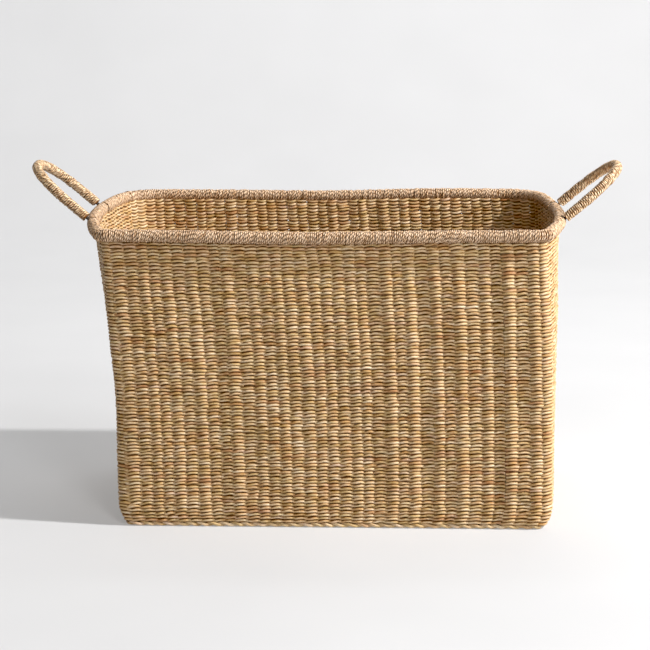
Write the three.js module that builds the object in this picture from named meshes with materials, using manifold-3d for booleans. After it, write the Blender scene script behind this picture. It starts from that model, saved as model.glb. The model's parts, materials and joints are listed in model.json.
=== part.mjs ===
// Rectangular seagrass storage basket: a wire frame of two hoops and four corner posts, twined seagrass walls
// and base, a cord-wrapped rim, a bottom border, and two wrapped loop handles that swing on the rim hoop.
// Millimetres, +Z up, front towards -Y. The origin is on the floor, under the middle of the rim.
import * as THREE from "three";
import { mergeVertices } from "three/addons/utils/BufferGeometryUtils.js";
import Module from "manifold-3d";

const wasm = await Module();
wasm.setup();

// ---- Driving dimensions ------------------------------------------------------------------------------------

const RIM_HEIGHT = 393; // the rim hoop's axis
const TOP_HALF_WIDTH = 285; // the wall's middle surface at the rim, from the middle to the line of the corners
const TOP_HALF_DEPTH = 195.5;
const TOP_SIDE_BOW = 27; // how far the short sides curve outwards at the rim
const RIM_OVERHANG = 4; // the rim hoop stands this far outside the wall's middle surface
const BASE_LEFT = 268.5; // the left wall's foot
const BASE_RIGHT = 301; // the right wall's foot
const BASE_HALF_DEPTH = 188;
const BASE_SIDE_BOW = 6;
const FLARE_POWER = 2; // the walls spread mostly in their upper half
const BACK_WIDENING = 0.02; // how much wider the basket is at the back than at the front
const FRONT_CORNER_RADIUS = { base: 12, top: 9 };
const BACK_CORNER_RADIUS = { base: 36, top: 55 };
const FOOT_ROUND = 32; // height of the rounding between wall and base
const SIDE_TUCK = 0.6; // share of that rounding by which the short sides come in
const FRONT_TUCK = 0.18; // and the long sides
const CORNER_TUCK = 0.12; // and by which the corners sharpen

const WALL_THICKNESS = 8;
const BASE_THICKNESS = 7;
const BASE_LIFT = 1; // the base hangs this far above the floor, inside its border
const BORDER_WIDTH = 8;
const BORDER_HEIGHT = 7;
const RIM_WRAP_RADIUS = 8.5;
const RIM_HOOP_RADIUS = 3;
const BASE_HOOP_RADIUS = 1.6;
const POST_RADIUS = 1.6;

const HANDLE_HALF_SPAN = 71;
const HANDLE_SETBACK = { left: -16, right: 6 }; // how far behind the middle of its side each handle sits
const HANDLE_REACH = 106.5; // hoop axis to the handle's own axis at its tip
const HANDLE_BEND_RADIUS = 64;
const HANDLE_BEND_STEPS = 8;
const HANDLE_RISE_DEG = 40.5; // above the horizontal, as the handles stand
const HANDLE_WRAP_RADIUS = 7;
const HANDLE_CORE_RADIUS = 2.2;
const EYE_INNER_RADIUS = 4;
const EYE_OUTER_RADIUS = 7.4;
const EYE_WIDTH = 5;
const EYE_SLOT = 8; // gap in the rim's wrapping round each eye
const HANDLE_WRAP_START = 10.4; // hoop axis to where a leg's wrapping begins

const GAP = 0.3; // between pieces that touch
const FIT_GAP = 0.35; // round a wire inside its wrapping

// ---- Materials ---------------------------------------------------------------------------------------------

function finish(color, roughness, metalness = 0) {
  return () => new THREE.MeshStandardMaterial({ color, roughness, metalness });
}

const wovenSeagrass = finish("#a58560", 0.85);
const wovenBase = finish("#9a7a54", 0.88);
const borderSeagrass = finish("#ad8c66", 0.85);
const cordSeagrass = finish("#b89a78", 0.82);
const darkWire = finish("#3a342e", 0.5, 0.8);

// ---- Plan outline ------------------------------------------------------------------------------------------

// The plan of the basket at one height. Its long sides are straight, its short sides are arcs that bow outwards,
// and its corners are rounded tangent to both.
function planAt(height) {
  const rise = (height / RIM_HEIGHT) ** FLARE_POWER;
  const mix = (base, top) => base + (top - base) * rise;
  const below = Math.max(0, 1 - height / FOOT_ROUND);
  const tuck = FOOT_ROUND * (1 - Math.sqrt(1 - below * below));
  return {
    left: mix(BASE_LEFT, TOP_HALF_WIDTH) - tuck * SIDE_TUCK,
    right: mix(BASE_RIGHT, TOP_HALF_WIDTH) - tuck * SIDE_TUCK,
    depth: mix(BASE_HALF_DEPTH, TOP_HALF_DEPTH) - tuck * FRONT_TUCK,
    bow: mix(BASE_SIDE_BOW, TOP_SIDE_BOW),
    frontCorner: mix(FRONT_CORNER_RADIUS.base, FRONT_CORNER_RADIUS.top) - tuck * CORNER_TUCK,
    backCorner: mix(BACK_CORNER_RADIUS.base, BACK_CORNER_RADIUS.top) - tuck * CORNER_TUCK,
  };
}

// The arc of one short side, with the centres of the two corner roundings that are tangent to it.
function sideArc(halfWidth, plan) {
  const { depth, bow } = plan;
  const radius = (bow * bow + depth * depth) / (2 * bow);
  const centre = halfWidth + bow - radius;
  const corner = (r) => {
    const across = depth - r;
    const x = centre + Math.sqrt((radius - r) ** 2 - across ** 2);
    return { r, x, across, turn: Math.atan2(across, x - centre) };
  };
  return { radius, centre, front: corner(plan.frontCorner), back: corner(plan.backCorner) };
}

// A point on the even outline, with its outward normal. The stretches run anticlockwise seen from above, and u
// goes from 0 to 1 along each.
function evenStation(plan, stretch, u) {
  const right = sideArc(plan.right, plan);
  const left = sideArc(plan.left, plan);
  const onCorner = (side, which, angle) => ({
    x: side[which].x + side[which].r * Math.cos(angle),
    y: (which === "front" ? -1 : 1) * side[which].across + side[which].r * Math.sin(angle),
    nx: Math.cos(angle),
    ny: Math.sin(angle),
  });
  const onSide = (side, angle) => ({
    x: side.centre + side.radius * Math.cos(angle),
    y: side.radius * Math.sin(angle),
    nx: Math.cos(angle),
    ny: Math.sin(angle),
  });
  const mirrored = (point) => ({ ...point, x: -point.x, nx: -point.nx });
  const between = (from, to, t) => from + (to - from) * t;
  const quarter = Math.PI / 2;
  switch (stretch) {
    case "front":
      return { x: between(-left.front.x, right.front.x, u), y: -plan.depth, nx: 0, ny: -1 };
    case "front_right":
      return onCorner(right, "front", between(-quarter, -right.front.turn, u));
    case "right":
      return onSide(right, between(-right.front.turn, right.back.turn, u));
    case "back_right":
      return onCorner(right, "back", between(right.back.turn, quarter, u));
    case "back":
      return { x: between(right.back.x, -left.back.x, u), y: plan.depth, nx: 0, ny: 1 };
    case "back_left":
      return mirrored(onCorner(left, "back", between(quarter, left.back.turn, u)));
    case "left":
      return mirrored(onSide(left, between(left.back.turn, -left.front.turn, u)));
    default:
      return mirrored(onCorner(left, "front", between(-left.front.turn, -quarter, u)));
  }
}

// The same point on the real outline, which widens a little towards the back.
function station(stretch, u, height) {
  const plan = planAt(height);
  const at = evenStation(plan, stretch, u);
  const widening = 1 + (BACK_WIDENING / 2) * (1 + at.y / plan.depth);
  return { ...at, x: at.x * widening };
}

function pointOn(stretch, u, height, offset = 0) {
  const at = station(stretch, u, height);
  return new THREE.Vector3(at.x + at.nx * offset, at.y + at.ny * offset, height);
}

function hoopPoint(stretch, u) {
  return pointOn(stretch, u, RIM_HEIGHT, RIM_OVERHANG);
}

function stretchLength(stretch, height) {
  const steps = 24;
  let length = 0;
  for (let i = 0; i < steps; i += 1) {
    const from = pointOn(stretch, i / steps, height);
    length += from.distanceTo(pointOn(stretch, (i + 1) / steps, height));
  }
  return length;
}

// Where the rim hoop passes a given distance behind the basket's middle, on a short side.
function sideParameter(side, y) {
  let low = 0;
  let high = 1;
  const rising = hoopPoint(side, 1).y > hoopPoint(side, 0).y;
  for (let i = 0; i < 40; i += 1) {
    const middle = (low + high) / 2;
    const short = hoopPoint(side, middle).y < y;
    if (short === rising) {
      low = middle;
    } else {
      high = middle;
    }
  }
  return (low + high) / 2;
}

// ---- Shape helpers -----------------------------------------------------------------------------------------

// A path that is stepped at its own stations, so that straights take few steps and bends take many. Each
// station is a point with the path's direction there.
class StationPath extends THREE.Curve {
  constructor(stations) {
    super();
    this.stations = stations;
  }

  stationAt(u) {
    return this.stations[Math.round(u * (this.stations.length - 1))];
  }

  getPoint(u) {
    return this.stationAt(u).point.clone();
  }

  getTangentAt(u) {
    return this.stationAt(u).direction.clone();
  }

  getSpacedPoints() {
    return this.stations.map(({ point }) => point.clone());
  }
}

function circle(radius, sides, path = new THREE.Shape()) {
  for (let i = 0; i < sides; i += 1) {
    const angle = (2 * Math.PI * i) / sides;
    const step = i === 0 ? "moveTo" : "lineTo";
    path[step](radius * Math.cos(angle), radius * Math.sin(angle));
  }
  path.closePath();
  return path;
}

function sweep(section, stations) {
  return new THREE.ExtrudeGeometry(section, {
    extrudePath: new StationPath(stations),
    steps: stations.length - 1,
    curveSegments: 1,
    bevelEnabled: false,
  });
}

function rod(radius, stations, sides = 8) {
  return sweep(circle(radius, sides), stations);
}

function sleeve(outer, inner, stations, sides = 14) {
  const section = circle(outer, sides);
  section.holes.push(circle(inner, 8, new THREE.Path()));
  return sweep(section, stations);
}

function toSolid(geometry) {
  const bare = geometry.clone();
  for (const name of Object.keys(bare.attributes)) {
    if (name !== "position") {
      bare.deleteAttribute(name);
    }
  }
  const merged = mergeVertices(bare, 1e-4);
  return new wasm.Manifold(new wasm.Mesh({
    numProp: 3,
    vertProperties: new Float32Array(merged.attributes.position.array),
    triVerts: new Uint32Array(merged.index.array),
  }));
}

function toGeometry(solid) {
  const mesh = solid.getMesh();
  const geometry = new THREE.BufferGeometry();
  geometry.setAttribute("position", new THREE.BufferAttribute(new Float32Array(mesh.vertProperties), 3));
  geometry.setIndex(new THREE.BufferAttribute(new Uint32Array(mesh.triVerts), 1));
  geometry.computeVertexNormals();
  return geometry;
}

function cut(geometry, ...tools) {
  return toGeometry(tools.reduce((solid, tool) => solid.subtract(toSolid(tool)), toSolid(geometry)));
}

function join(first, second) {
  return toGeometry(toSolid(first).add(toSolid(second)));
}

// ---- The basket's body -------------------------------------------------------------------------------------

const basket = new THREE.Group();

function place(name, geometry, material, parent = basket) {
  const mesh = new THREE.Mesh(geometry, material());
  mesh.name = name;
  parent.add(mesh);
  return mesh;
}

const STRETCHES = ["front", "front_right", "right", "back_right", "back", "back_left", "left", "front_left"];
const CORNERS = STRETCHES.filter((stretch) => stretch.includes("_"));
const WALL_FOOT = BORDER_HEIGHT + GAP;
const WALL_TOP = RIM_HEIGHT - RIM_WRAP_RADIUS - GAP;
const BORDER_AXIS = BORDER_HEIGHT / 2;

// Heights of a wall's stations: close together in the rounded foot, then evenly up to the rim.
const WALL_HEIGHTS = [WALL_FOOT, 12, 20, FOOT_ROUND, 130, 220, 300, WALL_TOP];

// One wall panel: a block that is bent onto the outline.
function wallPanel(stretch, divisions) {
  const panel = new THREE.BoxGeometry(1, 1, 1, divisions, 1, WALL_HEIGHTS.length - 1);
  const trim = GAP / 2 / stretchLength(stretch, RIM_HEIGHT);
  const position = panel.attributes.position;
  for (let i = 0; i < position.count; i += 1) {
    const u = trim + (position.getX(i) + 0.5) * (1 - 2 * trim);
    const height = WALL_HEIGHTS[Math.round((position.getZ(i) + 0.5) * (WALL_HEIGHTS.length - 1))];
    const at = pointOn(stretch, u, height, -position.getY(i) * WALL_THICKNESS);
    position.setXYZ(i, at.x, at.y, at.z);
  }
  return panel;
}

// A corner post's axis runs in the middle of the wall, from the base hoop up to the rim hoop, and leans out
// under the rim.
function postLine(corner, clearance) {
  const foot = BORDER_AXIS + BASE_HOOP_RADIUS + clearance;
  const top = RIM_HEIGHT - RIM_HOOP_RADIUS - clearance;
  const at = (height) => pointOn(corner, 0.5, height, height > WALL_TOP ? RIM_OVERHANG : 0);
  return [foot, ...WALL_HEIGHTS.slice(1), top].map((height) => {
    const point = at(height);
    const direction = pointOn(corner, 0.5, height + 1).sub(pointOn(corner, 0.5, height)).normalize();
    return { point, direction };
  });
}

const posts = new Map(CORNERS.map((corner) => [corner, {
  wire: rod(POST_RADIUS, postLine(corner, GAP)),
  bore: rod(POST_RADIUS + FIT_GAP, postLine(corner, 0)),
}]));

for (const corner of CORNERS) {
  place(`corner_post_${corner}`, posts.get(corner).wire, darkWire);
  place(`wall_corner_${corner}`, cut(wallPanel(corner, 6), posts.get(corner).bore), wovenSeagrass);
}

place("wall_front", wallPanel("front", 4), wovenSeagrass);
place("wall_back", wallPanel("back", 4), wovenSeagrass);
place("wall_left", wallPanel("left", 8), wovenSeagrass);
place("wall_right", wallPanel("right", 8), wovenSeagrass);

// Stations along part of the outline: whole stretches, or a stretch from one parameter to another.
function along(height, offset, legs) {
  const stations = [];
  for (const { stretch, from = 0, to = 1, steps } of legs) {
    for (let i = stations.length ? 1 : 0; i <= steps; i += 1) {
      const u = from + ((to - from) * i) / steps;
      const { nx, ny } = station(stretch, u, height);
      stations.push({ point: pointOn(stretch, u, height, offset), direction: new THREE.Vector3(-ny, nx, 0) });
    }
  }
  return stations;
}

// A hoop is one wire, bent round and butted at the middle of the back.
function hoop(height, offset, radius, cornerSteps, sideSteps) {
  const butt = GAP / stretchLength("back", height);
  return rod(radius, along(height, offset, [
    { stretch: "back", from: 0.5 + butt, to: 1, steps: 2 },
    { stretch: "back_left", steps: cornerSteps },
    { stretch: "left", steps: sideSteps },
    { stretch: "front_left", steps: cornerSteps },
    { stretch: "front", steps: 3 },
    { stretch: "front_right", steps: cornerSteps },
    { stretch: "right", steps: sideSteps },
    { stretch: "back_right", steps: cornerSteps },
    { stretch: "back", from: 0, to: 0.5 - butt, steps: 2 },
  ]));
}

place("rim_hoop", hoop(RIM_HEIGHT, RIM_OVERHANG, RIM_HOOP_RADIUS, 6, 12), darkWire);
place("base_hoop", hoop(BORDER_AXIS, 0, BASE_HOOP_RADIUS, 5, 4), darkWire);

// The base: a flat woven panel that fills the border.
function basePanel() {
  const inset = BORDER_WIDTH / 2 + GAP;
  const outline = new THREE.Shape();
  const points = [];
  for (const stretch of STRETCHES) {
    const steps = stretch.includes("_") ? 5 : 4;
    for (let i = 0; i < steps; i += 1) {
      const at = pointOn(stretch, i / steps, BORDER_AXIS, -inset);
      points.push(new THREE.Vector2(at.x, at.y));
    }
  }
  outline.setFromPoints(points);
  const panel = new THREE.ExtrudeGeometry(outline, { depth: BASE_THICKNESS, bevelEnabled: false });
  panel.translate(0, 0, BASE_LIFT);
  return panel;
}

place("base_panel", basePanel(), wovenBase);

// The border's section: flat underneath, rounded above, with a bore for the base hoop. The section's x axis
// points down and its y axis points into the basket.
function borderSection() {
  const half = BORDER_WIDTH / 2;
  const section = new THREE.Shape();
  section.moveTo(BORDER_AXIS, -half + 1.2);
  section.lineTo(BORDER_AXIS, half - 1.2);
  section.lineTo(BORDER_AXIS - 1.2, half);
  section.lineTo(-BORDER_AXIS + 2.4, half);
  section.lineTo(-BORDER_AXIS, half - 2.2);
  section.lineTo(-BORDER_AXIS, -half + 2.2);
  section.lineTo(-BORDER_AXIS + 2.4, -half);
  section.lineTo(BORDER_AXIS - 1.2, -half);
  section.closePath();
  section.holes.push(circle(BASE_HOOP_RADIUS + FIT_GAP, 8, new THREE.Path()));
  return section;
}

// A length of border: the long ones carry the corners, and the posts stand in them.
function borderLong(stretch, before, after) {
  const trim = GAP / 2 / stretchLength(before, BORDER_AXIS);
  const bar = sweep(borderSection(), along(BORDER_AXIS, 0, [
    { stretch: before, from: trim, to: 1, steps: 5 },
    { stretch, steps: 3 },
    { stretch: after, from: 0, to: 1 - trim, steps: 5 },
  ]));
  return cut(bar, posts.get(before).bore, posts.get(after).bore);
}

function borderShort(stretch) {
  const trim = GAP / 2 / stretchLength(stretch, BORDER_AXIS);
  return sweep(borderSection(), along(BORDER_AXIS, 0, [{ stretch, from: trim, to: 1 - trim, steps: 4 }]));
}

place("base_border_front", borderLong("front", "front_left", "front_right"), borderSeagrass);
place("base_border_back", borderLong("back", "back_right", "back_left"), borderSeagrass);
place("base_border_left", borderShort("left"), borderSeagrass);
place("base_border_right", borderShort("right"), borderSeagrass);

// ---- The rim's wrapping ------------------------------------------------------------------------------------

function rimWrap(legs, corner) {
  const wrap = sleeve(RIM_WRAP_RADIUS, RIM_HOOP_RADIUS + FIT_GAP, along(RIM_HEIGHT, RIM_OVERHANG, legs));
  return corner ? cut(wrap, posts.get(corner).bore) : wrap;
}

function slotEdges(side) {
  const at = (y) => sideParameter(side, y);
  const frontLeg = HANDLE_SETBACK[side] - HANDLE_HALF_SPAN;
  const rearLeg = HANDLE_SETBACK[side] + HANDLE_HALF_SPAN;
  const half = EYE_SLOT / 2;
  return {
    front: at(frontLeg - half),
    middle: [at(frontLeg + half), at(rearLeg - half)],
    rear: at(rearLeg + half),
  };
}

for (const stretch of ["front", "back"]) {
  const trim = GAP / 2 / stretchLength(stretch, RIM_HEIGHT);
  const legs = [{ stretch, from: trim, to: 1 - trim, steps: 2 }];
  place(`rim_wrap_${stretch}`, rimWrap(legs), cordSeagrass);
}

for (const side of ["left", "right"]) {
  const edges = slotEdges(side);
  const frontCorner = { stretch: `front_${side}`, steps: 6 };
  const backCorner = { stretch: `back_${side}`, steps: 6 };
  const startsAtFront = side === "right";
  const frontRun = startsAtFront
    ? [frontCorner, { stretch: side, from: 0, to: edges.front, steps: 3 }]
    : [{ stretch: side, from: edges.front, to: 1, steps: 3 }, frontCorner];
  const rearRun = startsAtFront
    ? [{ stretch: side, from: edges.rear, to: 1, steps: 3 }, backCorner]
    : [backCorner, { stretch: side, from: 0, to: edges.rear, steps: 3 }];
  const [from, to] = [...edges.middle].sort((a, b) => a - b);
  place(`rim_wrap_${side}_front`, rimWrap(frontRun, frontCorner.stretch), cordSeagrass);
  place(`rim_wrap_${side}_middle`, rimWrap([{ stretch: side, from, to, steps: 5 }]), cordSeagrass);
  place(`rim_wrap_${side}_rear`, rimWrap(rearRun, backCorner.stretch), cordSeagrass);
}

// ---- The handles -------------------------------------------------------------------------------------------

// A handle's loop in its own frame: x reaches out from the hinge axis, y runs along it.
function handleLoop(start, legSteps, bendSteps) {
  const half = [];
  const bendX = HANDLE_REACH - HANDLE_BEND_RADIUS;
  const bendY = HANDLE_HALF_SPAN - HANDLE_BEND_RADIUS;
  for (let i = 0; i < legSteps; i += 1) {
    const x = start + ((bendX - start) * i) / legSteps;
    half.push({ point: new THREE.Vector3(x, -HANDLE_HALF_SPAN, 0), direction: new THREE.Vector3(1, 0, 0) });
  }
  for (let i = 0; i <= bendSteps; i += 1) {
    const angle = (Math.PI / 2) * (i / bendSteps);
    const outward = new THREE.Vector3(Math.sin(angle), -Math.cos(angle), 0);
    const point = new THREE.Vector3(bendX, -bendY, 0).addScaledVector(outward, HANDLE_BEND_RADIUS);
    half.push({ point, direction: new THREE.Vector3(Math.cos(angle), Math.sin(angle), 0) });
  }
  const otherHalf = half.map(({ point, direction }) => ({
    point: new THREE.Vector3(point.x, -point.y, 0),
    direction: new THREE.Vector3(-direction.x, direction.y, 0),
  }));
  return [...half, ...otherHalf.reverse()];
}

// The core is a wire loop with an eye at each end, which the rim hoop runs through.
function handleCore() {
  const half = EYE_WIDTH / 2;
  const section = [
    new THREE.Vector2(EYE_INNER_RADIUS, -half),
    new THREE.Vector2(EYE_OUTER_RADIUS, -half),
    new THREE.Vector2(EYE_OUTER_RADIUS, half),
    new THREE.Vector2(EYE_INNER_RADIUS, half),
    new THREE.Vector2(EYE_INNER_RADIUS, -half),
  ];
  const eye = new THREE.LatheGeometry(section, 16);
  const rootInset = (EYE_INNER_RADIUS + EYE_OUTER_RADIUS) / 2;
  let core = rod(HANDLE_CORE_RADIUS, handleLoop(rootInset, 2, HANDLE_BEND_STEPS));
  for (const end of [-1, 1]) {
    core = join(core, eye.clone().translate(0, end * HANDLE_HALF_SPAN, 0));
  }
  return core;
}

// A handle swings about the straight line between its two eyes, which is a little askew to the basket.
function handle(side) {
  const eyeAt = (y) => hoopPoint(side, sideParameter(side, y));
  const front = eyeAt(HANDLE_SETBACK[side] - HANDLE_HALF_SPAN);
  const rear = eyeAt(HANDLE_SETBACK[side] + HANDLE_HALF_SPAN);
  const hinge = new THREE.Group();
  hinge.position.addVectors(front, rear).multiplyScalar(0.5);
  hinge.rotation.z = Math.atan2(front.x - rear.x, rear.y - front.y);
  // On the left the loop is turned half round, so that it reaches out the other way.
  const loop = new THREE.Group();
  const rise = THREE.MathUtils.degToRad(HANDLE_RISE_DEG);
  loop.rotation.y = side === "left" ? Math.PI + rise : -rise;
  hinge.add(loop);
  basket.add(hinge);
  place(`handle_core_${side}`, handleCore(), darkWire, loop);
  const wrapLine = handleLoop(HANDLE_WRAP_START, 2, HANDLE_BEND_STEPS);
  const wrap = sleeve(HANDLE_WRAP_RADIUS, HANDLE_CORE_RADIUS + FIT_GAP, wrapLine);
  place(`handle_wrap_${side}`, wrap, cordSeagrass, loop);
}

handle("left");
handle("right");

export default basket;
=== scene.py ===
"""The looks of a seagrass storage basket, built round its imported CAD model. Metres, +Z up, front
towards -Y."""

import json
import math

import bpy
import numpy as np
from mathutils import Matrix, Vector


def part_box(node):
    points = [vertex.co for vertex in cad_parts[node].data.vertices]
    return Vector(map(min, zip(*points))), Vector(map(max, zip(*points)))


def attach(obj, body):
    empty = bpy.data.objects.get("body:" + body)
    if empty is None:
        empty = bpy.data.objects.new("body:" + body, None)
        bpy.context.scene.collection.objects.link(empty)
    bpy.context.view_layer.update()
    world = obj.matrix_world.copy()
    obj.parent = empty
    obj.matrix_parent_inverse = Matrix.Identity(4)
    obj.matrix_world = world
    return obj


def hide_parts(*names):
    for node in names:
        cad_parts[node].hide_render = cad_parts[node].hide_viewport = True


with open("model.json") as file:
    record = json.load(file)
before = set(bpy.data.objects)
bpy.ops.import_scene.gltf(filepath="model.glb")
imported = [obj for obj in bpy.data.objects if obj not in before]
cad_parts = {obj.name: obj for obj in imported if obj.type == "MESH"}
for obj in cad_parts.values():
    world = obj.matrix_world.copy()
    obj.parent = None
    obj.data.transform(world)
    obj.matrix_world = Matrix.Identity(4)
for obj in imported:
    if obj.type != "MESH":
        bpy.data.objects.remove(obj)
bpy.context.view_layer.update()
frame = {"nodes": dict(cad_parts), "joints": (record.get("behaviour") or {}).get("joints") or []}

SEED = 11
BODY = "basket"

# ---- Sizes taken from the frame ------------------------------------------------------------------

hoop_low, hoop_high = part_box("rim_hoop")
foot_low, foot_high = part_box("base_hoop")
wrap_low, wrap_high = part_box("rim_wrap_front")
panel_low, panel_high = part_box("base_panel")
wall_low, wall_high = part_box("wall_front")

RIM_HEIGHT = (hoop_low.z + hoop_high.z) / 2
RIM_HOOP_RADIUS = (hoop_high.z - hoop_low.z) / 2
RIM_WRAP_RADIUS = (wrap_high.z - wrap_low.z) / 2
FOOT_HOOP_HEIGHT = (foot_low.z + foot_high.z) / 2
FOOT_HOOP_RADIUS = (foot_high.z - foot_low.z) / 2
BORDER_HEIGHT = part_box("base_border_front")[1].z
WALL_BOTTOM = wall_low.z
WALL_TOP = wall_high.z

# ---- The plan outline, as the CAD model draws it -------------------------------------------------

RIM_OVERHANG = 0.004  # the rim hoop stands this far outside the wall's middle surface
TOP_SIDE_BOW = 0.027
BASE_SIDE_BOW = 0.006
FLARE_POWER = 2
BACK_WIDENING = 0.02
FRONT_CORNER_RADIUS = (0.012, 0.009)  # at the foot and at the rim
BACK_CORNER_RADIUS = (0.036, 0.055)
FOOT_ROUND = 0.032  # height of the rounding between wall and base
SIDE_TUCK = 0.6  # share of that rounding by which the short sides come in
FRONT_TUCK = 0.18  # and the long sides
CORNER_TUCK = 0.12  # and by which the corners sharpen


def tuck_at(z):
    """How far the foot's rounding brings the wall in at a height."""
    below = np.clip(1 - z / FOOT_ROUND, 0, 1)
    return FOOT_ROUND * (1 - np.sqrt(1 - below**2))


def rise_at(z):
    """How far a height is from the foot's plan, 0, to the rim's, 1."""
    return (z / RIM_HEIGHT) ** FLARE_POWER


def foot_half_width(edge, top_half):
    """A wall's foot, before its rounding, from where the base hoop runs at the middle of that side."""
    at_hoop = edge / (1 + BACK_WIDENING / 2) + SIDE_TUCK * tuck_at(FOOT_HOOP_HEIGHT)
    rise = rise_at(FOOT_HOOP_HEIGHT)
    bow = BASE_SIDE_BOW + (TOP_SIDE_BOW - BASE_SIDE_BOW) * rise
    return (at_hoop - bow - top_half * rise) / (1 - rise)


TOP_HALF_DEPTH = hoop_high.y - RIM_HOOP_RADIUS - RIM_OVERHANG
TOP_HALF_WIDTH = (hoop_high.x - RIM_HOOP_RADIUS - RIM_OVERHANG) / (1 + BACK_WIDENING / 2) - TOP_SIDE_BOW
BASE_LEFT = foot_half_width(-foot_low.x - FOOT_HOOP_RADIUS, TOP_HALF_WIDTH)
BASE_RIGHT = foot_half_width(foot_high.x - FOOT_HOOP_RADIUS, TOP_HALF_WIDTH)
BASE_HALF_DEPTH = foot_high.y - FOOT_HOOP_RADIUS + FRONT_TUCK * tuck_at(FOOT_HOOP_HEIGHT)

# The outline is measured in stakes, anticlockwise seen from above, from the left end of the front.
STRETCHES = (
    ("front", 35),
    ("front_right", 1),
    ("right", 21),
    ("back_right", 5),
    ("back", 33),
    ("back_left", 5),
    ("left", 21),
    ("front_left", 1),
)
STAKES = sum(count for _, count in STRETCHES)
SPAN = {}
for stretch_name, stake_count in STRETCHES:
    first = sum(SPAN[name][1] - SPAN[name][0] for name in SPAN)
    SPAN[stretch_name] = (first, first + stake_count)


def side_arc(half, depth, bow, rise, tuck):
    """One short side's arc, and the roundings at its front and back corner."""
    radius = (bow**2 + depth**2) / (2 * bow)
    centre = half + bow - radius
    corners = []
    for at_foot, at_rim in (FRONT_CORNER_RADIUS, BACK_CORNER_RADIUS):
        r = at_foot + (at_rim - at_foot) * rise - tuck * CORNER_TUCK
        across = depth - r
        x = centre + np.sqrt((radius - r) ** 2 - across**2)
        corners.append((r, x, across, np.arctan2(across, x - centre)))
    return radius, centre, corners[0], corners[1]


def outline(s, z):
    """Points on the wall's middle surface and their level outward directions, for places s and heights z."""
    s, z = np.broadcast_arrays(np.asarray(s, float), np.asarray(z, float))
    s = s % STAKES
    rise = rise_at(z)
    tuck = tuck_at(z)
    depth = BASE_HALF_DEPTH + (TOP_HALF_DEPTH - BASE_HALF_DEPTH) * rise - tuck * FRONT_TUCK
    bow = BASE_SIDE_BOW + (TOP_SIDE_BOW - BASE_SIDE_BOW) * rise
    arcs = {}
    for side, foot in (("right", BASE_RIGHT), ("left", BASE_LEFT)):
        half = foot + (TOP_HALF_WIDTH - foot) * rise - tuck * SIDE_TUCK
        arcs[side] = side_arc(half, depth, bow, rise, tuck)
    x = np.zeros(s.shape)
    y = np.zeros(s.shape)
    nx = np.zeros(s.shape)
    ny = np.zeros(s.shape)
    quarter = math.pi / 2
    for name, (start, end) in SPAN.items():
        here = (s >= start) & (s < end)
        if not here.any():
            continue
        u = (s[here] - start) / (end - start)
        if name in ("front", "back"):
            way = 1 if name == "front" else -1
            corner = 2 if name == "front" else 3
            left = -arcs["left"][corner][1][here]
            right = arcs["right"][corner][1][here]
            x[here] = left + (right - left) * (u if name == "front" else 1 - u)
            y[here] = -way * depth[here]
            ny[here] = -way
            continue
        side = "right" if "right" in name else "left"
        radius, centre, front, back = arcs[side]
        if side == "left":
            u = 1 - u
        if name in ("left", "right"):
            angle = -front[3][here] + (back[3][here] + front[3][here]) * u
            r, cx, cy = radius[here], centre[here], 0
        elif name.startswith("front"):
            angle = -quarter + (quarter - front[3][here]) * u
            r, cx, cy = front[0][here], front[1][here], -front[2][here]
        else:
            angle = back[3][here] + (quarter - back[3][here]) * u
            r, cx, cy = back[0][here], back[1][here], back[2][here]
        mirror = 1 if side == "right" else -1
        x[here] = mirror * (cx + r * np.cos(angle))
        y[here] = cy + r * np.sin(angle)
        nx[here] = mirror * np.cos(angle)
        ny[here] = np.sin(angle)
    x = x * (1 + BACK_WIDENING / 2 * (1 + y / depth))
    return x, y, nx, ny


# How far the hand-shaped rim rides above or below its even height, at places round it.
RIM_LIFTS = (
    ("front", 0.0, 0.0),
    ("front", 0.45, -0.0022),
    ("front", 0.9, 0.0012),
    ("right", 0.0, 0.0022),
    ("right", 0.35, 0.0008),
    ("right", 0.75, 0.0016),
    ("back_right", 0.3, 0.0042),
    ("back", 0.15, 0.0046),
    ("back", 0.55, 0.0006),
    ("back", 0.9, 0.0012),
    ("left", 0.3, 0.0006),
    ("left", 0.7, 0.0002),
)


def rim_lift(s):
    """A smooth curve through the lifts, which closes on itself."""
    places = [SPAN[name][0] + (SPAN[name][1] - SPAN[name][0]) * u for name, u, _ in RIM_LIFTS]
    lifts = [lift for _, _, lift in RIM_LIFTS]
    places = np.array([places[-1] - STAKES] + places + [places[0] + STAKES])
    lifts = np.array([lifts[-1]] + lifts + [lifts[0]])
    s = np.asarray(s, float) % STAKES
    low = np.clip(np.searchsorted(places, s, side="right") - 1, 0, len(places) - 2)
    t = (s - places[low]) / (places[low + 1] - places[low])
    t = t * t * (3 - 2 * t)
    return lifts[low] + (lifts[low + 1] - lifts[low]) * t


def place_of(name, y):
    """Where the rim passes a given y on a short side, in stakes."""
    s = np.linspace(SPAN[name][0], SPAN[name][1], 2001)
    _, ys, _, ny = outline(s, RIM_HEIGHT)
    ys = ys + ny * RIM_OVERHANG
    order = np.argsort(ys)
    return float(np.interp(y, ys[order], s[order]))


# ---- Strands into meshes -------------------------------------------------------------------------


def unit(v):
    """Vectors scaled to length 1."""
    return v / np.linalg.norm(v, axis=-1, keepdims=True)


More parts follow.
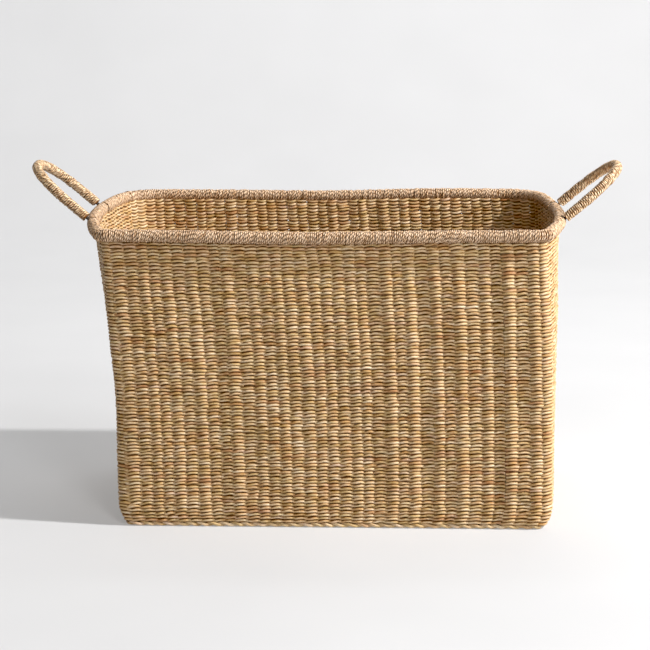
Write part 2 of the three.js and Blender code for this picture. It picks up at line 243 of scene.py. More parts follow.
class Strands:
    """Collects strands and turns them into one mesh. Each strand carries its own seed, and each of its
    points the place along and across it, which the seagrass material reads."""

    def __init__(self):
        self.points = []
        self.faces = []
        self.strand = []
        self.seed = []
        self.count = 0

    def add(self, centre, out, r_out, r_up, seeds, sides=6):
        """centre and out are (strands, steps, 3), and the radii broadcast to (strands, steps)."""
        strands, steps, _ = centre.shape
        ahead = unit(np.gradient(centre, axis=1))
        out = unit(out - ahead * (out * ahead).sum(-1, keepdims=True))
        up = np.cross(out, ahead)
        r_out = np.broadcast_to(r_out, (strands, steps))
        r_up = np.broadcast_to(r_up, (strands, steps))
        turn = 2 * np.pi * (np.arange(sides) + sides / 4) / sides
        cos, sin = np.cos(turn), np.sin(turn)
        ring = (
            centre[:, :, None, :]
            + out[:, :, None, :] * (r_out[:, :, None] * cos)[..., None]
            + up[:, :, None, :] * (r_up[:, :, None] * sin)[..., None]
        )
        stride = np.linalg.norm(np.diff(centre, axis=1), axis=-1)
        along = np.concatenate([np.zeros((strands, 1)), np.cumsum(stride, axis=1)], axis=1)
        carried = np.empty((strands, steps, sides, 3))
        carried[..., 0] = along[:, :, None]
        carried[..., 1] = r_out[:, :, None] * cos
        carried[..., 2] = r_up[:, :, None] * sin
        index = self.count + np.arange(strands * steps * sides).reshape(strands, steps, sides)
        here, there = index[:, :-1], index[:, 1:]
        quads = np.stack(
            [here, np.roll(here, -1, axis=2), np.roll(there, -1, axis=2), there], axis=-1
        ).reshape(-1, 4)
        self.faces += [quads, index[:, 0, ::-1], index[:, -1]]
        self.points.append(ring.reshape(-1, 3))
        self.strand.append(carried.reshape(-1, 3))
        seeds = np.broadcast_to(np.asarray(seeds, float).reshape(-1, 1), (strands, steps * sides))
        self.seed.append(seeds.reshape(-1))
        self.count += strands * steps * sides

    def build(self, name, material, nodes, slot, body=BODY):
        """Makes one piece of the strands, which rides on a body and replaces the named CAD nodes."""
        mesh = bpy.data.meshes.new(name)
        mesh.vertices.add(self.count)
        mesh.vertices.foreach_set("co", np.concatenate(self.points).astype(np.float32).ravel())
        sizes = np.concatenate([np.full(len(f), f.shape[1]) for f in self.faces])
        corners = np.concatenate([f.ravel() for f in self.faces])
        mesh.loops.add(len(corners))
        mesh.loops.foreach_set("vertex_index", corners.astype(np.int32))
        mesh.polygons.add(len(sizes))
        starts = np.concatenate([[0], np.cumsum(sizes)[:-1]])
        mesh.polygons.foreach_set("loop_start", starts.astype(np.int32))
        mesh.update(calc_edges=True)
        mesh.polygons.foreach_set("use_smooth", np.ones(len(sizes), bool))
        carried = mesh.attributes.new("strand", "FLOAT_VECTOR", "POINT")
        carried.data.foreach_set("vector", np.concatenate(self.strand).astype(np.float32).ravel())
        seed = mesh.attributes.new("seed", "FLOAT", "POINT")
        seed.data.foreach_set("value", np.concatenate(self.seed).astype(np.float32))
        mesh.materials.append(material)
        piece = bpy.data.objects.new(name, mesh)
        bpy.context.scene.collection.objects.link(piece)
        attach(piece, body)
        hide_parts(*nodes)


# ---- Materials -----------------------------------------------------------------------------------


def linear(red, green, blue):
    """A colour given as 0 to 255, as a linear RGBA."""

    def channel(value):
        value = value / 255
        return value / 12.92 if value <= 0.04045 else ((value + 0.055) / 1.055) ** 2.4

    return (channel(red), channel(green), channel(blue), 1)


class Nodes:
    """A short way to write a material's nodes."""

    def __init__(self, name):
        self.material = bpy.data.materials.new(name)
        self.material.use_nodes = True
        self.tree = self.material.node_tree
        self.shader = self.tree.nodes["Principled BSDF"]

    def node(self, kind, inputs=(), **settings):
        made = self.tree.nodes.new(kind)
        for key, value in settings.items():
            setattr(made, key, value)
        for key, value in dict(inputs).items():
            if isinstance(value, bpy.types.NodeSocket):
                self.tree.links.new(value, made.inputs[key])
            else:
                made.inputs[key].default_value = value
        return made

    def math(self, operation, first, second=0.0):
        return self.node("ShaderNodeMath", {0: first, 1: second}, operation=operation).outputs[0]

    def noise(self, vector, scale, detail=2.0, roughness=0.5):
        inputs = {"Vector": vector, "Scale": scale, "Detail": detail, "Roughness": roughness}
        return self.node("ShaderNodeTexNoise", inputs).outputs["Fac"]

    def ramp(self, factor, stops):
        made = self.node("ShaderNodeValToRGB", {"Fac": factor})
        ramp = made.color_ramp
        while len(ramp.elements) < len(stops):
            ramp.elements.new(0.5)
        for element, (position, colour) in zip(ramp.elements, stops):
            element.position = position
            element.color = colour
        return made.outputs["Color"]

    def mix(self, factor, first, second, blend="MIX"):
        made = self.node("ShaderNodeMix", data_type="RGBA", blend_type=blend)
        for index, value in ((0, factor), (6, first), (7, second)):
            if isinstance(value, bpy.types.NodeSocket):
                self.tree.links.new(value, made.inputs[index])
            else:
                made.inputs[index].default_value = value
        return made.outputs[2]

    def surface(self, **sockets):
        for key, value in sockets.items():
            name = key.replace("_", " ")
            if isinstance(value, bpy.types.NodeSocket):
                self.tree.links.new(value, self.shader.inputs[name])
            else:
                self.shader.inputs[name].default_value = value
        return self.material


# Tones that multiply a colour: over the fibres; a painted shade that darkens from a strand's middle out
# towards its seams with the next strands; and a painted shade in the grooves between a cord's plies, lifting
# to a ply's top.
FIBRE_TONES = ((0.32, (0.62, 0.56, 0.48, 1)), (0.5, (1, 1, 1, 1)), (0.68, (1.22, 1.22, 1.2, 1)))
SEAM_SHADE_TONES = ((0.25, (1, 1, 1, 1)), (0.65, (0.82, 0.70, 0.52, 1)), (0.95, (0.26, 0.115, 0.02, 1)))
GROOVE_SHADE_TONES = ((0.0, (0.16, 0.10, 0.05, 1)), (0.70, (1, 1, 1, 1)))
FIBRE_SCALE = (90.0, 1500.0)  # along and across the strand
HUE_SHARE = 0.4


def seagrass(name, stops, hues, patch=22.0, twist=0.0, depth=0.0003, seam_shade=0.0):
    """Dry seagrass: a colour that drifts along each strand, a hue of its own for each, and fine fibres that
    run along it. Where the grass is spun into cord, a painted shade darkens the grooves between its plies.
    Where strands lie close, a painted shade darkens them from their middle out towards the seams between
    them, over the given distance."""
    n = Nodes(name)
    strand = n.node("ShaderNodeAttribute", attribute_name="strand").outputs["Vector"]
    seed = n.node("ShaderNodeAttribute", attribute_name="seed").outputs["Fac"]
    shift = n.node("ShaderNodeCombineXYZ", {"X": seed, "Y": n.math("MULTIPLY", seed, 3.7), "Z": seed})
    moved = n.node("ShaderNodeVectorMath", {0: strand, 1: shift.outputs[0]}, operation="ADD").outputs[0]

    def stretched(along, across):
        scale = (along, across, across)
        return n.node("ShaderNodeVectorMath", {0: moved, 1: scale}, operation="MULTIPLY").outputs[0]

    tone = n.noise(stretched(patch, 0.0), 1.0, detail=4.0, roughness=0.62)
    hue = n.noise(stretched(patch * 0.7, 30.0), 1.0, detail=2.0, roughness=0.6)
    colour = n.mix(HUE_SHARE, n.ramp(tone, stops), n.ramp(hue, hues))
    fibres = n.noise(stretched(*FIBRE_SCALE), 1.0, detail=3.0, roughness=0.65)
    colour = n.mix(1.0, colour, n.ramp(fibres, FIBRE_TONES), "MULTIPLY")
    height = fibres
    parts = n.node("ShaderNodeSeparateXYZ", {"Vector": strand})
    # Painted shade: the colour darkens from a strand's middle out towards its seams with the next strands.
    if seam_shade:
        edge = n.math("DIVIDE", n.math("ABSOLUTE", parts.outputs["Z"]), seam_shade)
        colour = n.mix(1.0, colour, n.ramp(edge, SEAM_SHADE_TONES), "MULTIPLY")
    # Painted shade in the grooves between the plies; the same pattern also raises the plies in the bump.
    if twist:
        around = n.math("ARCTAN2", parts.outputs["Z"], parts.outputs["Y"])
        turned = n.math("MULTIPLY_ADD", parts.outputs["X"], math.pi / twist)
        n.tree.links.new(around, turned.node.inputs[2])
        ply = n.math("ABSOLUTE", n.math("SINE", turned))
        colour = n.mix(1.0, colour, n.ramp(ply, GROOVE_SHADE_TONES), "MULTIPLY")
        height = n.math("ADD", n.math("MULTIPLY", ply, 1.5), fibres)
    bump = n.node("ShaderNodeBump", {"Height": height, "Strength": 0.9, "Distance": depth})
    rough = n.node("ShaderNodeMapRange", {"Value": fibres, "To Min": 0.38, "To Max": 0.62}).outputs[0]
    n.shader.inputs["Sheen Weight"].default_value = 0.06
    n.shader.inputs["Sheen Roughness"].default_value = 0.5
    n.shader.inputs["IOR"].default_value = 1.4
    n.shader.inputs["Specular IOR Level"].default_value = 0.35
    return n.surface(Base_Color=colour, Roughness=rough, Normal=bump.outputs[0])


WALL_STOPS = (
    (0.28, linear(92, 50, 14)),
    (0.40, linear(184, 140, 88)),
    (0.50, linear(208, 178, 136)),
    (0.60, linear(230, 212, 186)),
    (0.72, linear(186, 144, 94)),
)
# The stakes' colour is darkened to paint the shade in the grooves between the rows, where they show.
SHADED_STAKE_STOPS = (
    (0.30, linear(58, 32, 10)),
    (0.50, linear(112, 76, 38)),
    (0.70, linear(84, 52, 22)),
)
WALL_HUES = (
    (0.30, linear(170, 108, 76)),
    (0.40, linear(212, 176, 138)),
    (0.48, linear(196, 172, 112)),
    (0.55, linear(236, 210, 176)),
    (0.63, linear(206, 164, 104)),
    (0.72, linear(216, 172, 154)),
)
CORD_STOPS = (
    (0.32, linear(128, 86, 52)),
    (0.43, linear(200, 162, 122)),
    (0.53, linear(236, 210, 182)),
    (0.62, linear(190, 148, 108)),
    (0.72, linear(226, 192, 158)),
)
HANDLE_STOPS = (
    (0.32, linear(104, 62, 26)),
    (0.43, linear(186, 142, 92)),
    (0.53, linear(252, 232, 196)),
    (0.62, linear(160, 116, 70)),
    (0.72, linear(240, 210, 166)),
)
CORD_HUES = (
    (0.32, linear(196, 150, 110)),
    (0.45, linear(236, 204, 170)),
    (0.56, linear(252, 224, 200)),
    (0.70, linear(216, 174, 122)),
)


def wire_material():
    """Dull dark steel wire."""
    n = Nodes("dark_wire")
    place = n.node("ShaderNodeTexCoord").outputs["Object"]
    grain = n.noise(place, 900.0, detail=4.0)
    colour = n.ramp(grain, ((0.35, linear(48, 40, 34)), (0.65, linear(74, 62, 52))))
    rough = n.node("ShaderNodeMapRange", {"Value": grain, "To Min": 0.4, "To Max": 0.6}).outputs[0]
    bump = n.node("ShaderNodeBump", {"Height": grain, "Strength": 0.3, "Distance": 0.0002})
    return n.surface(Base_Color=colour, Roughness=rough, Normal=bump.outputs[0], Metallic=0.6)


wall_grass = seagrass("wall_seagrass", WALL_STOPS, WALL_HUES, seam_shade=0.0021)
shaded_stake_grass = seagrass("shaded_stake_seagrass", SHADED_STAKE_STOPS, WALL_HUES)
base_grass = seagrass("base_seagrass", WALL_STOPS, WALL_HUES, seam_shade=0.0019)
border_grass = seagrass("border_seagrass", WALL_STOPS, WALL_HUES)
rim_cord = seagrass("rim_cord", CORD_STOPS, CORD_HUES, 60.0, twist=0.0055, depth=0.0006, seam_shade=0.0016)
handle_cord = seagrass("handle_cord", HANDLE_STOPS, CORD_HUES, 55.0, twist=0.006, depth=0.0005, seam_shade=0.0017)
dark_wire = wire_material()

# ---- The twined walls ----------------------------------------------------------------------------

ROW_PITCH = 0.00457
STAKE_SPACING = 0.0155  # about the distance from stake to stake along a wall
STEPS_PER_STAKE = 6
STRAND_OUT = 0.0019  # half thickness of a strand, through the wall
STRAND_UP = 0.0021  # half height of a strand where it passes over a stake
CROSSING_UP = 0.0019  # and where two strands cross
STRAND_REACH = 0.0023  # how far a strand stands off the wall's middle surface as it passes a stake
CROSSING_RISE = 0.00045  # how far it climbs or drops to cross its partner
ARCH = 0.0011  # and how far it bows upwards as it passes a stake

WEAVE_BOTTOM = WALL_BOTTOM - 0.0015  # the first row sits on the border
WEAVE_TOP = WALL_TOP + 0.0045  # the last row is tucked under the rim's winding
ROWS = round((WEAVE_TOP - WEAVE_BOTTOM) / ROW_PITCH)
STAKE_STEPS = 30
STAKE_HALF_WIDTH = 0.0080
SHARP_CORNER_STAKE_HALF_WIDTH = 0.0050
STAKE_HALF_THICKNESS = 0.0009
POST_HALF_THICKNESS = 0.0020  # a corner's stake is wound round the wire post
STRIPED_STAKES = 14  # at the right end of the front every other stake stands proud

rng = np.random.default_rng(SEED)
stake_shift = 0.10 * rng.standard_normal(STAKES + 1).clip(-2, 2)
stake_proud = 0.0007 * rng.standard_normal(STAKES + 1).clip(-2, 2)
front_right_part = np.arange(SPAN["front"][1] - STRIPED_STAKES, SPAN["front"][1])
stake_proud[front_right_part] += 0.0008 * (-1.0) ** front_right_part


def bulge(s, z, size, stake, height, half_tall):
    """A soft bump in the wall round one place, which fades over 6 stakes and half_tall metres."""
    return size * np.exp(-(((s - stake) / 6) ** 2) - ((z - height) / half_tall) ** 2)


def dent(s, z):
    """How far the soft wall stands out of its even shape. The ripple fades towards the rim and the foot."""
    left_waist = bulge(s, z, -0.0010, SPAN["left"][1] - 3, 0.175, 0.055)
    right_swell = bulge(s, z, 0.0026, SPAN["right"][0] + 3, 0.26, 0.05)
    broad = 0.0007 * np.sin(s * 0.31 + 9 * z) * np.sin(23 * z + 0.11 * s)
    fine = 0.0004 * np.sin(1.3 * s + 31 * z)
    free = np.clip((RIM_HEIGHT - z) / 0.06, 0, 1) * np.clip(z / 0.04, 0, 1)
    return left_waist + right_swell + (broad + fine) * free


def on_wall(s, z, reach):
    """Points at places s and heights z, reach outside the wall's middle surface."""
    low = np.floor(s - 0.5).astype(int)
    t = s - 0.5 - low
    shift = stake_shift[low % STAKES] * (1 - t) + stake_shift[(low + 1) % STAKES] * t
    proud = stake_proud[low % STAKES] * (1 - t) + stake_proud[(low + 1) % STAKES] * t
    x, y, nx, ny = outline(s + shift, z)
    share = SIDE_TUCK * nx**2 + FRONT_TUCK * ny**2
    step = 0.0005
    tilt = np.arctan(share * (tuck_at(z - step) - tuck_at(z + step)) / (2 * step))
    out = np.stack([nx * np.cos(tilt), ny * np.cos(tilt), -np.sin(tilt)], axis=-1)
    middle = np.stack([x, y, z + rim_lift(s) * rise_at(z) ** 2], axis=-1)
    return middle + out * (np.asarray(reach) + dent(s, z) + proud)[..., None], out


class Wobble:
    """Smooth random variation along each row, with one value over each stake."""

    def __init__(self, rng, rows, reach):
        self.values = reach * rng.standard_normal((rows, STAKES)).clip(-2, 2)

    def at(self, row, s):
        place = s - 0.5
        low = np.floor(place).astype(int)
        t = place - low
        t = t * t * (3 - 2 * t)
        first = self.values[row, low % STAKES]
        return first + (self.values[row, (low + 1) % STAKES] - first) * t


lift = Wobble(rng, ROWS, 0.00034)
swell = Wobble(rng, ROWS, 0.12)
depth_change = Wobble(rng, ROWS, 0.12)
slope_change = Wobble(rng, ROWS, 0.7)
early = Wobble(rng, ROWS, 0.08)
row_seeds = rng.random(ROWS) * 50


def weft(rows, start, end):
    """The pairs of strands that twine round the stakes from start to end, in some rows. A strand runs a
    little past each end and thins there, so that it closes inside the next piece's strand."""
    run = np.arange(start * STEPS_PER_STAKE - 1, end * STEPS_PER_STAKE + 2) / STEPS_PER_STAKE
    row = np.arange(*rows)[:, None]
    s = np.broadcast_to(run, (len(row), len(run)))
    height = WEAVE_BOTTOM + (row + 0.5) * (WEAVE_TOP - WEAVE_BOTTOM) / ROWS
    # The rows drift up and down as they run, but for the few next to the border and the rim.
    settle = 0.0006 * np.sin(s * 0.21 + row * 0.045) + 0.0004 * np.sin(s * 0.53 - row * 0.09)
    height = height + settle * np.minimum(1, np.minimum(row, ROWS - 1 - row) / 4)
    thin = np.ones(len(run))
    thin[0] = thin[-1] = 0.8
    strands = Strands()
    for which in (0, 1):
        phase = np.pi * (s - 0.5 + early.at(row, s)) + np.pi * which
        over = np.cos(phase)
        reach = STRAND_REACH * over * (1.3 - 0.3 * over**2) * (1 + depth_change.at(row, s))
        slope = CROSSING_RISE * np.sin(phase) * (1 + slope_change.at(row, s))
        climb = slope + ARCH * over + lift.at(row, s)
        centre, out = on_wall(s, height + climb, reach)
        fullness = np.abs(over) ** 0.7
        up = (CROSSING_UP + (STRAND_UP - CROSSING_UP) * fullness) * (1 + swell.at(row, s))
        strands.add(centre, out, STRAND_OUT * thin, up * thin, row_seeds[row[:, 0]] + start)
    return strands


def build_weave():
    """Each wall in three bands of rows, and each corner in one piece."""
    for name, (start, end) in SPAN.items():
        corner = "_" in name
        node = f"wall_corner_{name}" if corner else f"wall_{name}"
        bands = 1 if corner else 3
        cuts = [round(ROWS * i / bands) for i in range(bands + 1)]
        for band in range(bands):
            piece = f"weave_{name}" if corner else f"weave_{name}_{band + 1}"
            strands = weft((cuts[band], cuts[band + 1]), start, end)
            strands.build(piece, wall_grass, [node], "wall_seagrass")


def build_stakes():
    """The flat upright stakes, seen between the strands, in a colour darkened to paint the shade of the
    grooves they show in.
    """
    heights = np.linspace(WEAVE_BOTTOM, WEAVE_TOP, STAKE_STEPS)
    posts = {int(sum(SPAN[name]) / 2) for name in SPAN if "_" in name}
    sharp = {int(sum(SPAN[name]) / 2) for name in ("front_left", "front_right")}
    strands = Strands()
    for stake in range(STAKES):
        thickness = POST_HALF_THICKNESS if stake in posts else STAKE_HALF_THICKNESS
        s = np.full(heights.shape, stake + 0.5)
        centre, out = on_wall(s, heights, 0 * heights)
        width = SHARP_CORNER_STAKE_HALF_WIDTH if stake in sharp else STAKE_HALF_WIDTH
        strands.add(centre[None], out[None], thickness, width, [stake * 0.37])
    strands.build("stakes", shaded_stake_grass, [], "wall_seagrass")


build_weave()
build_stakes()

# ---- Cord wound round a line ---------------------------------------------------------------------


CORD_HALF_WIDTH = 0.00128
CORD_HALF_THICKNESS = 0.0012
CORE_INSET = 0.0011  # a plain core this far inside the cord's middle closes the gaps between the turns
TURN_STEPS = 14
TURN_LEAN = 0.0015  # how far a turn leans along the line
TURN_UNEVENNESS = 0.12  # as a share of the pitch
TURN_SWELL = 0.045  # as a share of the radius


def wound(line, out, wrap_radius, pitch, half_width, seed, core_seed):
    """Cord wound round a line of points (steps, 3), and the core under it. out is the direction, square
    to the line, from which the turns start. They are a little uneven, and lean along the line."""
    radius = wrap_radius - CORD_HALF_THICKNESS
    stride = np.linalg.norm(np.diff(line, axis=0), axis=1)
    run = np.concatenate([[0], np.cumsum(stride)])
    turns = run[-1] / pitch
    t = np.linspace(0, 1, int(turns * TURN_STEPS))
    knots = np.random.default_rng(seed).standard_normal(int(turns) + 3)
    knot = np.arange(len(knots))
    at_knot = t * (len(knots) - 1)
    uneven = TURN_UNEVENNESS * pitch * np.interp(at_knot, knot, knots)
    angle = 2 * np.pi * (t * turns)
    lean = TURN_LEAN * np.interp(at_knot, knot[::6], knots[::6])
    place = t * run[-1] + uneven * np.sin(np.pi * np.clip(t * turns, 0, 0.5)) + lean * np.sin(angle)
    place = np.clip(place, 0, run[-1])

    def along(values):
        return np.stack([np.interp(place, run, values[:, k]) for k in range(3)], axis=-1)

    side = unit(along(out))
    up = np.cross(side, unit(along(unit(np.gradient(line, axis=0)))))
    round_out = side * np.cos(angle)[:, None] + up * np.sin(angle)[:, None]
    swollen = radius * (1 + TURN_SWELL * np.interp(at_knot, knot, knots[::-1]))
    centre = along(line) + round_out * swollen[:, None]
    core = radius - CORE_INSET
    strands = Strands()
    strands.add(centre[None], round_out[None], CORD_HALF_THICKNESS, half_width, [seed])
    # The core takes the cord's painted seam shade over most of its round, so it shows dark between the
    # turns.
    strands.add(line[None], out[None], core, core, [core_seed], sides=12)
    return strands


RIM_PITCH = 0.0024
RIM_LINE_STEP = 0.003
RUN_OVERLAP = 0.09  # in stakes, where two lengths of winding meet
EYE_HALF = 0.0025  # half the thickness of a handle's eye
EYE_GAP_HALF = 0.0040  # half the gap that the winding leaves for it


def rim_line(start, end):
    """The rim hoop's line between two places, and its level outward directions."""
    n = max(8, int(abs(end - start) * STAKE_SPACING / RIM_LINE_STEP))
    s = np.linspace(start, end, n)
    x, y, nx, ny = outline(s, RIM_HEIGHT)
    line = np.stack([x + nx * RIM_OVERHANG, y + ny * RIM_OVERHANG, RIM_HEIGHT + rim_lift(s)], axis=-1)
    return line, np.stack([nx, ny, np.zeros(n)], axis=-1)


def build_rim():
    """The rim's winding, in one length between each two gaps or corners."""
    runs = {"rim_wrap_front": SPAN["front"], "rim_wrap_back": SPAN["back"]}
    for side in ("left", "right"):
        low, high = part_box(f"handle_core_{side}")
        gap = {}
        for end, y in (("front", low.y + EYE_HALF), ("rear", high.y - EYE_HALF)):
            gap[end] = (place_of(side, y - EYE_GAP_HALF), place_of(side, y + EYE_GAP_HALF))
        front_start, front_end = SPAN[f"front_{side}"]
        back_start, back_end = SPAN[f"back_{side}"]
        if side == "right":
            runs["rim_wrap_right_front"] = (front_start, gap["front"][0])
            runs["rim_wrap_right_middle"] = (gap["front"][1], gap["rear"][0])
            runs["rim_wrap_right_rear"] = (gap["rear"][1], back_end)
        else:
            runs["rim_wrap_left_front"] = (gap["front"][0], front_end)
            runs["rim_wrap_left_middle"] = (gap["rear"][0], gap["front"][1])
            runs["rim_wrap_left_rear"] = (back_start, gap["rear"][1])
    for index, (node, (start, end)) in enumerate(runs.items()):
        # A run that ends on a whole stake meets another run there. The others end at a gap.
        start = start - RUN_OVERLAP * (start == round(start))
        end = end + RUN_OVERLAP * (end == round(end))
        line, out = rim_line(start, end)
        strands = wound(line, out, RIM_WRAP_RADIUS, RIM_PITCH, CORD_HALF_WIDTH, 100 + index, index * 3.1)
        strands.build(node.replace("wrap", "winding"), rim_cord, [node], "rim_cord")


build_rim()

# ---- The handles ---------------------------------------------------------------------------------

LEG_STEPS = 12
BEND_STEPS = 40
HANDLE_PITCH = 0.0027
HANDLE_CORD_HALF_WIDTH = 0.00142
HANDLE_REACH = 0.1065  # from the hinge to the axis at the handle's far side
HANDLE_HALF_SPAN = 0.071
HANDLE_BEND_RADIUS = 0.064
HANDLE_WRAP_START = 0.0126  # the winding starts this far from the hinge, and bare wire shows before it
HANDLE_WRAP_RADIUS = 0.007


def handle_line(side):
    """The handle's axis, from its front leg to its rear leg, and the direction square to its plane."""
    joint = next(j for j in frame["joints"] if j["child"] == f"{side}_handle")
    hinge = np.array(joint["pos_m"])
    axis = unit(np.array(joint["axis"], float))
    axis = axis if axis[1] > 0 else -axis
    low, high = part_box(f"handle_wrap_{side}")
    tip_z = high.z - HANDLE_WRAP_RADIUS
    rise = math.asin((tip_z - hinge[2]) / HANDLE_REACH)
    way = 1 if side == "right" else -1
    level = np.array([way * axis[1], -way * axis[0], 0])
    reach = level * math.cos(rise) + np.array([0, 0, 1]) * math.sin(rise)
    square = np.cross(axis, reach) * way
    bend_x = HANDLE_REACH - HANDLE_BEND_RADIUS
    bend_y = HANDLE_HALF_SPAN - HANDLE_BEND_RADIUS
    leg = np.linspace(HANDLE_WRAP_START, bend_x, LEG_STEPS)[:-1]
    angle = np.linspace(0, np.pi / 2, BEND_STEPS)
    across = np.concatenate([leg, bend_x + HANDLE_BEND_RADIUS * np.sin(angle)])
    along = np.concatenate([0 * leg - HANDLE_HALF_SPAN, -bend_y - HANDLE_BEND_RADIUS * np.cos(angle)])
    across = np.concatenate([across, across[::-1]])
    along = np.concatenate([along, -along[::-1]])
    line = hinge + across[:, None] * reach + along[:, None] * axis
    return line, np.broadcast_to(square, line.shape)


def build_handle(side, seed):
    line, square = handle_line(side)
    strands = wound(
        line, square, HANDLE_WRAP_RADIUS, HANDLE_PITCH, HANDLE_CORD_HALF_WIDTH, seed, seed * 1.3
    )
    node = f"handle_wrap_{side}"
    strands.build(f"handle_winding_{side}", handle_cord, [node], "handle_cord", f"{side}_handle")


build_handle("left", 210)
build_handle("right", 220)

# ---- The foot's border and the base --------------------------------------------------------------


BORDER_STEPS_PER_STAKE = 12
BORDER_OUT = 0.0006  # the border's axis lies this far outside the base hoop
PLY_SWING = 0.0023  # how far each ply swings to the sides of the axis
PLY_RISE = 0.0014  # and above and below it
PLY_HALF_WIDTH = 0.0022
PLY_HALF_HEIGHT = 0.0021
BASE_STEPS_PER_STAKE = 5
BASE_REACH = 0.0035  # the outermost rows are pushed this far in under the walls
BASE_EDGE_INSET = 0.0012
BASE_STRAND_HALF = (0.0013, 0.0019)  # a strand's half thickness and half width
BASE_STAKE_HALF = (0.0010, 0.0078)
BASE_SWING = 0.0020  # how far a strand swings above and below the base's middle


def build_border():
    """A rope of two plies under the wall's edge, with a turn for every two stakes."""
    for index, (node, names) in enumerate((
        ("base_border_front", ("front_left", "front", "front_right")),
        ("base_border_right", ("right",)),
        ("base_border_back", ("back_right", "back", "back_left")),
        ("base_border_left", ("left",)),
    )):
        start = SPAN[names[0]][0]
        end = SPAN[names[-1]][1]
        start = start - STAKES if start > end else start
        s = np.linspace(start, end, int((end - start) * BORDER_STEPS_PER_STAKE))
        x, y, nx, ny = outline(s, FOOT_HOOP_HEIGHT)
        out = np.stack([nx, ny, 0 * nx], axis=-1)
        line = np.stack([x, y, np.full(len(s), BORDER_HEIGHT / 2)], axis=-1)
        wobble = 0.5 * np.sin(s * 1.7) + 0.4 * np.sin(s * 0.9 + 1)
        strands = Strands()
        for ply in (0, 1):
            angle = -np.pi * s + ply * np.pi + 0.5 * wobble
            centre = line + out * (BORDER_OUT + PLY_SWING * np.cos(angle))[:, None]
            centre[:, 2] += PLY_RISE * np.sin(angle)
            seeds = [300 + index * 5 + ply]
            strands.add(centre[None], out[None], PLY_HALF_WIDTH, PLY_HALF_HEIGHT, seeds, sides=8)
        strands.build(f"border_{node.split('_')[-1]}", border_grass, [node], "border_seagrass")


def build_base():
    """The base is twined like the walls, with its stakes running from front to back."""
    middle = (panel_low.z + panel_high.z) / 2
    near = panel_low.y - BASE_REACH
    far = panel_high.y + BASE_REACH
    rows = int((far - near) / ROW_PITCH)
    ys = near + (np.arange(rows) + 0.5) * (far - near) / rows
    edge_x, edge_y, edge_nx, edge_ny = outline(np.linspace(0, STAKES, 2400), FOOT_HOOP_HEIGHT)
    edge_x = edge_x - BASE_EDGE_INSET * edge_nx
    edge_y = edge_y - BASE_EDGE_INSET * edge_ny
    beside = [edge_x[np.abs(edge_y - y) < 0.0024] for y in ys]
    left = np.array([places.min() for places in beside])
    right = np.array([places.max() for places in beside])
    columns = int((panel_high.x - panel_low.x) / STAKE_SPACING)
    t = np.linspace(0, 1, columns * BASE_STEPS_PER_STAKE + 1)
    x = left[:, None] + (right - left)[:, None] * t
    phase = np.pi * (x - panel_low.x) / STAKE_SPACING
    strands = Strands()
    local = np.random.default_rng(SEED + 1)
    up = (0, 0, 1)
    for which in (0, 1):
        turn = phase + np.pi * which
        z = middle + BASE_SWING * np.cos(turn)
        y = ys[:, None] + 0.0010 * np.sin(turn) + 0.0002 * local.standard_normal((rows, 1))
        centre = np.stack([x, y, z], axis=-1)
        seeds = local.random(rows) * 40
        strands.add(centre, np.broadcast_to(up, centre.shape), *BASE_STRAND_HALF, seeds, sides=5)
    xs = panel_low.x + (np.arange(columns) + 0.5) * STAKE_SPACING
    y = np.linspace(near + 0.002, far - 0.002, STAKE_STEPS)
    centre = np.stack(np.broadcast_arrays(xs[:, None], y[None], middle), axis=-1).astype(float)
    seeds = local.random(len(xs)) * 40
    strands.add(centre, np.broadcast_to(up, centre.shape), *BASE_STAKE_HALF, seeds)
    strands.build("base_weave", base_grass, ["base_panel"], "base_seagrass")


build_border()
build_base()

# ---- CAD pieces that stay ------------------------------------------------------------------------

for name, node in frame["nodes"].items():
    if not node.hide_render:
        node.data.materials.clear()
        node.data.materials.append(dark_wire)

# ---- Studio --------------------------------------------------------------------------------------


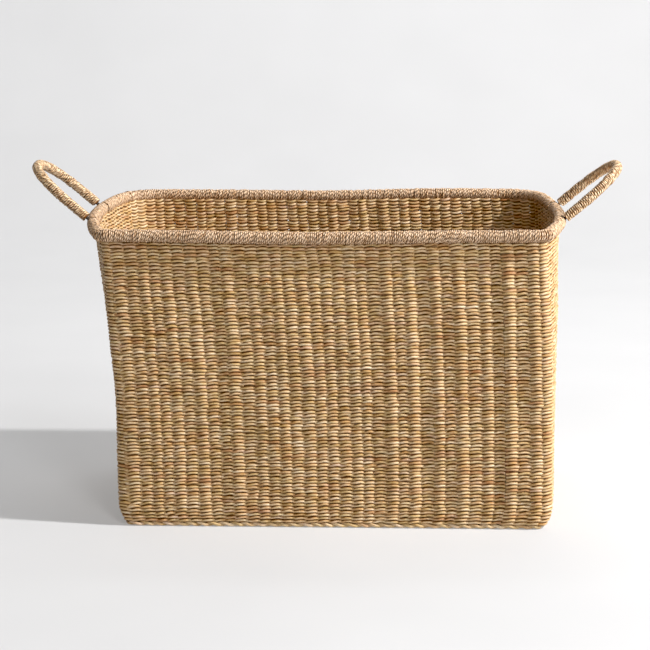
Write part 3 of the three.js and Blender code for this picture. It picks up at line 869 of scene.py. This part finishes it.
def build_floor():
    """A pale floor that curves up into a backdrop."""
    half = 6.0
    front = -8.0
    back = 2.2
    top = 6.0
    bend = 1.5
    bend_steps = 12
    profile_points = [(front, 0.0), (back, 0.0)]
    for i in range(1, bend_steps + 1):
        angle = math.pi / 2 * i / bend_steps
        profile_points.append((back + bend * math.sin(angle), bend * (1 - math.cos(angle))))
    profile_points.append((back + bend, top))
    mesh = bpy.data.meshes.new("floor")
    points = [(x, y, z) for y, z in profile_points for x in (-half, half)]
    faces = [(2 * i, 2 * i + 1, 2 * i + 3, 2 * i + 2) for i in range(len(profile_points) - 1)]
    mesh.from_pydata(points, [], faces)
    mesh.polygons.foreach_set("use_smooth", np.ones(len(faces), bool))
    floor = bpy.data.objects.new("floor", mesh)
    bpy.context.scene.collection.objects.link(floor)
    n = Nodes("pale_floor")
    place = n.node("ShaderNodeTexCoord").outputs["Object"]
    colour = n.ramp(n.noise(place, 3.0), ((0.3, linear(173, 173, 174)), (0.7, linear(177, 177, 178))))
    glow = {"Emission_Color": (1, 1, 1, 1), "Emission_Strength": 0.25}
    mesh.materials.append(n.surface(Base_Color=colour, Roughness=0.9, **glow))


def area_light(name, place, target, size, power, colour=(1, 1, 1)):
    """A round lamp at a place, aimed at a target."""
    data = bpy.data.lights.new(name, "AREA")
    data.shape = "DISK"
    data.size = size
    data.energy = power
    data.color = colour
    light = bpy.data.objects.new(name, data)
    bpy.context.scene.collection.objects.link(light)
    light.location = place
    aim = Vector(target) - Vector(place)
    light.rotation_euler = aim.to_track_quat("-Z", "Y").to_euler()


def build_light():
    """A small key lamp high on the right, two softer lamps, one for the backdrop, and a dim white world."""
    area_light("key", (3.7, -0.90, 3.5), (0, 0, 0.2), 0.27, 320, (1.0, 0.99, 0.98))
    area_light("fill", (1.1, -3.4, 2.6), (0, 0, 0.2), 0.9, 43, (1.0, 0.995, 0.99))
    area_light("side", (3.0, -0.85, 1.15), (0.2, 0, 0.2), 0.6, 54)
    area_light("backdrop", (0, 1.6, 3.4), (0, 3.6, 1.2), 2.0, 51)
    world = bpy.data.worlds.new("studio")
    bpy.context.scene.world = world
    world.use_nodes = True
    world.node_tree.nodes["Background"].inputs["Color"].default_value = (1, 1, 1, 1)
    world.node_tree.nodes["Background"].inputs["Strength"].default_value = 0.13
    view = bpy.context.scene.view_settings
    view.view_transform = "Standard"
    view.use_curve_mapping = True
    view.curve_mapping.black_level = (0.011, 0.011, 0.011)  # deepens the gaps between the strands
    view.curve_mapping.update()


def build_camera():
    """Seen from the front, a little to the right and from above."""
    azimuth = math.radians(2.0)
    distance = 3.0
    height = 0.815
    pitch = math.radians(10.88)
    data = bpy.data.cameras.new("camera")
    data.sensor_width = 36
    data.lens = 121.3
    data.shift_x = -0.0036
    camera = bpy.data.objects.new("camera", data)
    bpy.context.scene.collection.objects.link(camera)
    camera.location = (distance * math.sin(azimuth), -distance * math.cos(azimuth), height)
    camera.rotation_euler = (math.pi / 2 - pitch, 0, azimuth)
    bpy.context.scene.camera = camera


build_floor()
build_light()
build_camera()

bpy.context.view_layer.update()
